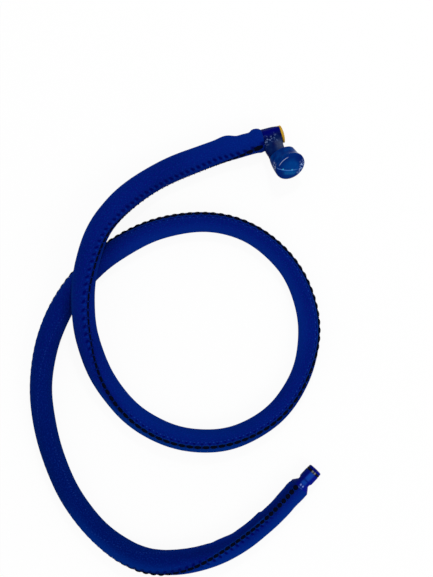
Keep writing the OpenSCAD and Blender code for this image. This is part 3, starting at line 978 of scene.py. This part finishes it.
barrel = rounded(barbs(0) + [(0, BARREL_R, 0.5), (BARREL_LENGTH, BARREL_R, 0.4),
                             (BARREL_LENGTH, 0, 0)])
neck = rounded([(0, 0, 0), (0, NECK_ROOT_R, 0), (NECK_LENGTH, NECK_R, 0.5),
                (NECK_LENGTH, SPIGOT_R, 0), (BEAD_FROM, SPIGOT_R, 0), (BEAD_FROM, BEAD_R, 0),
                (BEAD_TO, BEAD_R, 0), (BEAD_TO, SPIGOT_R, 0), (SPIGOT_END, SPIGOT_R, 0.4),
                (SPIGOT_END, 0, 0)])
bore = rounded([(-BARB_LENGTH - 1, 0, 0), (-BARB_LENGTH - 1, PASSAGE_R, 0),
                (BARREL_FLOOR, PASSAGE_R, 0), (BARREL_FLOOR, PLUG_BORE_R, 0),
                (BARREL_LENGTH + 1, PLUG_BORE_R, 0), (BARREL_LENGTH + 1, 0, 0)])
outlet = rounded([(1, 0, 0), (1, OUTLET_BORE_R, 0), (SPIGOT_END + 1, OUTLET_BORE_R, 0),
                  (SPIGOT_END + 1, 0, 0)])

flare = np.vstack([oval(*section, OVAL_SIDES) for section in NECK_FLARE])
flare = placed(placed(flare, outlet_place), elbow_place.inverted())
flare[:, 0] = np.maximum(flare[:, 0], FLARE_FROM)
rib = np.vstack([oval(x, RIB_WIDE, RIB_HIGH, OVAL_SIDES, reach - RIB_WIDE) for x, reach in RIB])
points, faces = moulded(
    [turned(barrel, elbow_place, loop=False), turned(neck, outlet_place, loop=False),
     (placed(flare, elbow_place), capped_faces(len(NECK_FLARE), OVAL_SIDES)),
     (placed(rib, elbow_place), capped_faces(len(RIB), OVAL_SIDES))],
    [turned(bore, elbow_place, loop=False), turned(outlet, outlet_place, 48, loop=False)],
    voxel=0.25, softening=4)
elbow = new_piece("shut_off_elbow", points, faces, indigo, "hose")
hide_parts("valve_body")
print("elbow faces", len(faces))

# %% [markdown]
# ## The shut-off lever
# A mustard cap closes the end of the barrel, with the plug behind it. From the cap a thin bent
# paddle reaches back along the barrel for a finger to turn the valve. Low ribs across the
# paddle give grip. The cap is turned, and the paddle is a grid bent round the same axis.

# %% Lever
CAP_FROM, CAP_TO, CAP_EDGE = 14.0, 15.7, 0.4
PLUG_R, PLUG_FROM = 4.0, 1.4
PADDLE_IN, PADDLE_OUT, PADDLE_FROM, PADDLE_TO = 7.0, 7.8, 2.0, 15.4
PADDLE_ARC, PADDLE_DROP = 44, 50
GRIP_RIBS, GRIP_HIGH, GRIP_STOP = 5, 0.25, 12.5
PLATE_ACROSS, PLATE_LONG = 13, 57

mustard = Finish("mustard_plastic", Roughness=0.42, Specular_IOR_Level=0.08)
grime = mustard.noise(2.5, 4.0).fade(0.35, 0.75)
mustard.show(Base_Color=mustard.coats((196, 156, 44), (grime, (174, 132, 34))),
             Roughness=0.38 + grime * 0.2)
mustard.relief(mustard.noise(0.5, 3.0), 0.03)

cap = rounded([(PLUG_FROM, 0, 0), (PLUG_FROM, PLUG_R, 0.3), (CAP_FROM, PLUG_R, 0),
               (CAP_FROM, BARREL_R, 0.3), (CAP_TO - 0.5, BARREL_R, CAP_EDGE), (CAP_TO, 4.6, 2),
               (CAP_TO + 0.4, 2.5, 3), (CAP_TO + 0.5, 0, 0)])


def bent_plate(x_from, r_in, rib_high):
    """A plate bent round the barrel's axis, closed all round, with ribs on its outer side."""
    a = np.radians(np.linspace(-PADDLE_ARC / 2, PADDLE_ARC / 2, PLATE_ACROSS) - PADDLE_DROP)
    x = np.linspace(x_from, PADDLE_TO, PLATE_LONG)
    wave = np.cos(2 * np.pi * GRIP_RIBS * (x - PADDLE_FROM) / (CAP_FROM - PADDLE_FROM))
    ribs = rib_high * np.clip(wave, 0, 1) * (x < GRIP_STOP)
    rings = [np.column_stack([np.full(PLATE_ACROSS, at), r * np.cos(way), r * np.sin(way)])
             for at, rib in zip(x, ribs) for r, way in ((PADDLE_OUT + rib, a), (r_in, a[::-1]))]
    return placed(np.vstack(rings), elbow_place), capped_faces(PLATE_LONG, 2 * PLATE_ACROSS)


points, faces = moulded([turned(cap, elbow_place, loop=False),
                         bent_plate(PADDLE_FROM, PADDLE_IN, GRIP_HIGH),
                         bent_plate(CAP_FROM, PLUG_R, 0)], [], voxel=0.22, softening=4)
lever = new_piece("shut_off_lever", points, faces, mustard, "shutoff")
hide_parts("shutoff_lever")
print("lever faces", len(faces))

# %% [markdown]
# ## The bite valve
# The mouthpiece is glossy blue silicone. Its sides flare from a skirt round the neck to a broad
# head with a crisp rim, and the face has a slit that opens when it is bitten. It is lofted from
# rings whose plane tilts gradually, then hollowed, and the crease of the slit is pressed into the
# face by moving points. Its finish is painted round the middle of the face: a lit middle and lower
# lip, painted shade on the upper right and lower left, a pale line along the slit, a painted glint
# on the rim, painted highlights as specks on the rim and dots at the slit's ends, and painted
# reflections as pale streaks on the flanks.

# %% Finish of the bite valve
FACE_UP = 16.3
SLIT_MIDDLE, SLIT_HALF, SLIT_LINE, SLIT_SLOPE = (-2.4, -1.5), 3.6, (-11, 6), 0.03

head_place = mouth_place @ turn(HEAD_TURN, "X") @ turn(HEAD_TILT, "Z")
face_normal = np.array(head_place.to_3x3().col[0])
slit_way = unit(np.array((face_normal[2], SLIT_SLOPE, -face_normal[0])))
slit_way = unit(slit_way - face_normal * (slit_way @ face_normal))
face_ways = face_normal, slit_way, np.cross(face_normal, slit_way)
face_middle = np.array(head_place @ Vector((FACE_UP, 0, 0)))

silicone = Finish("blue_silicone", Roughness=0.08, Specular_IOR_Level=0.005)
out, beside, over = (silicone.reach(face_middle, way) for way in face_ways)
milky = silicone.noise(4.0, 2.0).fade(0.3, 0.75)
specks = silicone.noise(1.0, 2.0).fade(0.5, 0.6)
from_middle = (beside * beside + over * over) ** 0.5
around = over.math("ARCTAN2", beside)
on_face = out.fade(-2.4, -1.2)


def sector(start, end, soft=0.25):
    """1 between two angles round the face's middle."""
    return around.fade(start - soft, start + soft) * around.fade(end + soft, end - soft)


# Painted reflection: a pale streak on the flank at the upper right.
flank = sector(0.6, 1.4) * from_middle.fade(8.6, 10.2) * out.fade(-2, -5) * out.fade(-13, -9)
# Painted light: the lower lip is lit.
lip = abs(over + 4.4).fade(2.2, 0.6) * abs(beside - 0.5).fade(6, 3)
rim = abs(from_middle - 10.0) + abs(out + 1.3) * 0.5
# Painted highlights: pale specks on the rim at the right, and a painted reflection as pale strokes
# on the lower left flank.
rim_glint_specks = from_middle.fade(6.2, 7.6) * specks * sector(-0.5, 0.7) * out.fade(-3, -1.5)
left_flank_reflection = beside.fade(-8, -9.5) * abs(over + 2.5).fade(3, 0.5) * out.fade(-9.5, -7)
line = abs(over - SLIT_MIDDLE[1] + 0.65 - (beside + 3) * (beside + 3) * 0.013).fade(0.4, 0.1)
line = line * beside.fade(SLIT_LINE[0] - 1, SLIT_LINE[0])
line = line * beside.fade(SLIT_LINE[1] + 1, SLIT_LINE[1] - 2)
# Painted highlights: dots at the two ends of the slit.
slit_ends = [((beside - SLIT_MIDDLE[0] - end) ** 2 + (over - SLIT_MIDDLE[1]) ** 2) ** 0.5
             for end in (-SLIT_HALF, SLIT_HALF)]
side_blue = silicone.coats((1, 32, 100), (milky, (2, 52, 122)), (flank * 0.4, (140, 156, 192)))
face_blue = silicone.coats(
    (1, 36, 106),
    # Painted light and shade: a lit middle, and painted shade on the face's upper right and lower
    # left.
    (from_middle.fade(10, 3), (1, 64, 138)),
    (sector(0.3, 1.5) * from_middle.fade(4, 8) * 0.8, (1, 22, 96)),
    (sector(-3.0, -2.0) * from_middle.fade(5, 8) * 0.6, (1, 26, 98)),
    ((1 - milky) * 0.4, (1, 34, 110)),
    (lip * 0.7, (3, 84, 150)))
silicone.show(Roughness=0.07 + milky * 0.08, Base_Color=silicone.coats(
    silicone.mix(on_face, side_blue, face_blue),
    (rim.fade(0.5, 0.1) * sector(2.2, 3.0, 0.12) * 0.8, (200, 215, 245)),
    (rim_glint_specks * 0.85, (150, 178, 225)),
    (left_flank_reflection * out.fade(-2.5, -4) * specks * 0.8, (190, 205, 235)),
    (line * on_face * 0.6, (80, 135, 210)),
    *[(end.fade(0.75, 0.35) * on_face, (60, 170, 215)) for end in slit_ends]))
silicone.relief(silicone.noise(2.2), 0.05)
print("silicone finish has", len(silicone.tree.nodes), "nodes")

# %% Bite valve
SKIRT_R, SKIRT_EDGE, SKIRT_MOUTH, HEAD_R = 9.4, 1.0, 5.5, 10.9
BROAD_UP, RIM_UP, RIM_R, RIM_EDGE = 13.4, 14.2, 9.4, 1.4
SOCKET_R, GROOVE_R, CHAMBER_R, CHAMBER_FROM, FACE_WALL = 4.8, 5.3, 4.5, 7.5, 2.4
MOUTH_SIDES = 96

quarter = np.pi / 2
side = [(0, SKIRT_MOUTH), *[(SKIRT_EDGE * (1 - np.cos(a)), SKIRT_R - SKIRT_EDGE * (1 - np.sin(a)))
                            for a in np.linspace(0, quarter, 6)]]
side += [(SKIRT_EDGE + t * (BROAD_UP - SKIRT_EDGE), SKIRT_R + (HEAD_R - SKIRT_R) * t ** 0.8)
         for t in np.linspace(0, 1, 24)[1:]]
side += [(BROAD_UP + t * (RIM_UP - BROAD_UP), HEAD_R - t * t * (HEAD_R - RIM_R - RIM_EDGE))
         for t in np.linspace(0, 1, 6)[1:]]
side += [(RIM_UP + RIM_EDGE * np.sin(a), RIM_R + RIM_EDGE * np.cos(a))
         for a in np.linspace(0, quarter, 9)[1:]]
rim_top = RIM_UP + RIM_EDGE
side += [(rim_top + (FACE_UP - rim_top) * (1 - (r / RIM_R) ** 2), r)
         for r in np.linspace(RIM_R - 0.6, 0.6, 15)]

rings = []
for up, r in side:
    tilt = HEAD_TILT * np.clip((up - SKIRT_EDGE) / (BROAD_UP - SKIRT_EDGE), 0, 1)
    ring_place = mouth_place @ turn(HEAD_TURN, "X") @ turn(tilt, "Z")
    rings.append(placed(oval(up, r, r, MOUTH_SIDES), ring_place))
socket = rounded([(NECK_LENGTH - 2, 0, 0), (NECK_LENGTH - 2, SOCKET_R, 0),
                  (SPIGOT_END - 2, SOCKET_R, 0), (SPIGOT_END - 2, GROOVE_R, 0),
                  (SPIGOT_END - 0.6, GROOVE_R, 0), (SPIGOT_END - 0.6, SOCKET_R, 0),
                  (SPIGOT_END + 0.2, SOCKET_R, 0), (SPIGOT_END + 0.2, 0, 0)])
chamber = rounded([(CHAMBER_FROM, 0, 0), (CHAMBER_FROM, CHAMBER_R, 0),
                   (FACE_UP - FACE_WALL, CHAMBER_R, 0), (FACE_UP - FACE_WALL, 0, 0)])
points, faces = moulded([(np.vstack(rings), capped_faces(len(side), MOUTH_SIDES))],
                        [turned(socket, outlet_place, loop=False),
                         turned(chamber, head_place, loop=False)], voxel=0.25, softening=3)
print("mouthpiece lofted from", len(rings), "rings")

# %% Slit of the bite valve
SLIT_DEEP, SLIT_WIDE, CREASE_HALF, SKIN_DEEP = 0.55, 0.42, 6.6, 1.2
LIP_SWELL, LIP_BELOW, LIP_WIDE = 0.35, 2.2, 1.5
DOT_HIGH, DOT_R = 0.6, 0.5

up_face, by_face, over_face = ((points - face_middle) @ way for way in face_ways)
from_slit = over_face - SLIT_MIDDLE[1]
press = LIP_SWELL * bump_at(from_slit, -LIP_BELOW, LIP_WIDE)
press -= SLIT_DEEP * bump_at(from_slit, 0, SLIT_WIDE)
for end in (-SLIT_HALF, SLIT_HALF):
    press += DOT_HIGH * bump_at(np.hypot(by_face - SLIT_MIDDLE[0] - end, from_slit), 0, DOT_R)
press *= rise_at(-np.abs(by_face - np.mean(SLIT_LINE)), -CREASE_HALF, 0.5)
press *= rise_at(up_face, -SKIN_DEEP, 0.25)
points += press[:, None] * face_normal
bite_valve = new_piece("soft_mouthpiece", points, faces, silicone, "mouthpiece")
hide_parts("bite_valve")
print("mouthpiece faces", len(faces))

# %% [markdown]
# ## The quick-connect plug
# The plug is navy plastic, turned in one profile: barbed stem, flange, narrow latch neck, nose,
# the groove of its O-ring and a lip. A closed profile that comes back along the water passage
# gives the wall its thickness. Its finish has a painted sheen along the top, dimmed by painted
# shade on the taper behind the flange and on the taper up to the nose, a right side painted
# lighter and painted glints beside the flange. The O-ring has painted glints on its top, where it
# is also smoother.

# %% Finishes of the plug and its O-ring
def on_plug(finish):
    """Millimetres ahead of the plug's base and to its left, and 1 on its upper side."""
    ahead, left, up = (finish.reach(plug_place.translation, way)
                       for way in plug_place.to_3x3().transposed())
    return ahead, left, up.fade(0, 2)


navy = Finish("navy_plastic", Roughness=0.2, Specular_IOR_Level=0.01)
swirl = navy.noise(3.0, 3.0).fade(0.3, 0.7)
ahead, left, on_top = on_plug(navy)
# Painted highlight: a sheen along the top of the plug.
sheen = left.fade(2.6, 1.0) * left.fade(-2.7, -0.6) * on_top * ahead.fade(15.5, 14)
# Painted shade dims the sheen on the taper behind the flange and on the taper up to the nose.
for band, wide, narrow in ((2.4, 2.0, 1.2), (7.5, 0.9, 0.3)):
    sheen = sheen * (1 - abs(ahead - band).fade(wide, narrow) * 0.55)
# Painted glints beside the flange.
twin = abs(abs(left) - 1).fade(0.8, 0.2) * on_top
dots = twin * (abs(ahead - 2.9).fade(0.9, 0.2) + abs(ahead - 0.6).fade(0.8, 0.2) * 0.3)
navy.show(Roughness=0.2 + swirl * 0.12, Base_Color=navy.coats(
    (2, 9, 102),
    # Painted light: the plug's right side is painted lighter.
    (left.fade(0, -3), (2, 16, 128)),
    (left.fade(3, 5), (3, 22, 92)),
    (sheen * (0.75 + swirl * 0.25), (16, 60, 156)),
    (dots * 0.65, (130, 155, 225))))
navy.relief(navy.noise(0.9), 0.03)

rubber = Finish("greased_rubber", Roughness=0.3, Specular_IOR_Level=0.05)
_, left, on_top = on_plug(rubber)
# Painted glints on the top of the O-ring, where it is also made smoother.
ring_glints = abs(abs(left) - 1).fade(1.0, 0.2) * on_top
rubber.show(Base_Color=rubber.coats((1, 3, 12), (ring_glints * 0.65, (130, 134, 142))),
            Roughness=0.45 - ring_glints * 0.2)
rubber.relief(rubber.noise(0.6), 0.04)
print("plug finish has", len(navy.tree.nodes), "nodes")

# %% Quick-connect plug and its O-ring
FLANGE_R, LATCH_R, NOSE_R, LIP_R = 7.2, 4.5, 5.3, 5.1
FLANGE_TO, LATCH_FROM, LATCH_TO, NOSE_FROM = 1.2, 4.8, 6.1, 7.5
NOSE_END, LIP_FROM, PLUG_TIP = 14.15, 15.9, 17.65
GROOVE_FLOOR_R, RING_MIDDLE_R, RING_SECTION_R, RING_HALF = 3.85, 4.57, 0.7, 0.9
PLUG_SIDES, RING_SIDES = 72, 20

plug_profile = rounded(
    barbs(PASSAGE_R) + [(0, FLANGE_R, 0.3), (FLANGE_TO, FLANGE_R, 1.5), (LATCH_FROM, LATCH_R, 1.0),
                        (LATCH_TO, LATCH_R, 1.4), (NOSE_FROM, NOSE_R, 1.6),
                        (NOSE_END, NOSE_R, 0.2), (NOSE_END, GROOVE_FLOOR_R, 0.1),
                        (LIP_FROM, GROOVE_FLOOR_R, 0.1), (LIP_FROM, LIP_R, 0.15),
                        (PLUG_TIP, LIP_R, 1.1), (PLUG_TIP, PASSAGE_R, 0.25)], loop=True)
points, faces = turned(plug_profile, plug_place, PLUG_SIDES)
plug = new_piece("quick_connect_plug", points, faces, navy, "hose")
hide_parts("connector_body")

section_angle = np.linspace(0, 2 * np.pi, RING_SIDES, endpoint=False)
ring_profile = np.column_stack([(NOSE_END + LIP_FROM) / 2 + RING_HALF * np.cos(section_angle),
                                RING_MIDDLE_R + RING_SECTION_R * np.sin(section_angle)])
points, faces = turned(ring_profile[::-1], plug_place, PLUG_SIDES)
plug_ring = new_piece("plug_o_ring", points, faces, rubber, "hose")
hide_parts("connector_o_ring")
for name in ("barrel_o_ring_inner", "barrel_o_ring_outer"):
    node_mesh = frame["nodes"][name].data
    node_mesh.materials.clear()
    node_mesh.materials.append(rubber.material)
print("plug and rings made")

# %% [markdown]
# ## The hose's pieces

print("hose pieces made")

# %% [markdown]
# ## Floor and light
# The hose lies on a plain white table under soft light. The floor takes the shadow as a pale
# surface and is white to the camera and in reflections. A key light stands on the side of the
# mouthpiece, and a weaker broad one on the other side.

# %% Floor
FLOOR_HALF = 3.0
WHITE_SHARE = 0.92


def seen_white(graph):
    """1 for camera, glossy and transmission rays."""
    path_kind = graph.tree.nodes.new("ShaderNodeLightPath").outputs
    rays = [Wire(graph, path_kind[k])
            for k in ("Is Camera Ray", "Is Glossy Ray", "Is Transmission Ray")]
    return rays[0].math("MAXIMUM", rays[1]).math("MAXIMUM", rays[2])


table = Finish("pale_table", Roughness=0.9, Specular_IOR_Level=0.0,
               Base_Color=(0.92, 0.92, 0.92, 1))
glow = table.node("ShaderNodeEmission", {}, {"Color": (1, 1, 1, 1), "Strength": 1.0})[0]
matte = Wire(table, table.surface.outputs[0])
blend = table.node("ShaderNodeMixShader", {},
                   {0: seen_white(table) * WHITE_SHARE, 1: matte, 2: glow})[0]
table.join(blend, table.tree.nodes["Material Output"].inputs["Surface"])
corners = [(-FLOOR_HALF, -FLOOR_HALF, 0), (FLOOR_HALF, -FLOOR_HALF, 0),
           (FLOOR_HALF, FLOOR_HALF, 0), (-FLOOR_HALF, FLOOR_HALF, 0)]
floor = add_object("table", new_mesh("table", corners, [(0, 1, 2, 3)]))
floor.data.materials.append(table.material)
print("floor made")

# %% Light
SKY_LIGHT = 0.72

world = bpy.data.worlds.new("studio")
world.use_nodes = True
bpy.context.scene.world = world
sky = Graph(world.node_tree)
backdrop = world.node_tree.nodes["Background"].inputs
sky.join(SKY_LIGHT + seen_white(sky) * (1 - SKY_LIGHT), backdrop["Strength"])
sky.join((1, 1, 1, 1), backdrop["Color"])


def lamp(name, spot, aim, size, power):
    light = bpy.data.lights.new(name, "AREA")
    light.size, light.energy = size, power
    holder = add_object(name, light)
    holder.location = spot
    holder.rotation_euler = (Vector(aim) - Vector(spot)).to_track_quat("-Z", "Y").to_euler()


lamp("key", (0.15, 0.75, 1.0), (0.05, 0.05, 0), 0.12, 3.6)
lamp("fill", (0.7, -0.6, 0.9), (0.05, 0, 0), 0.5, 3)
print("lights made")
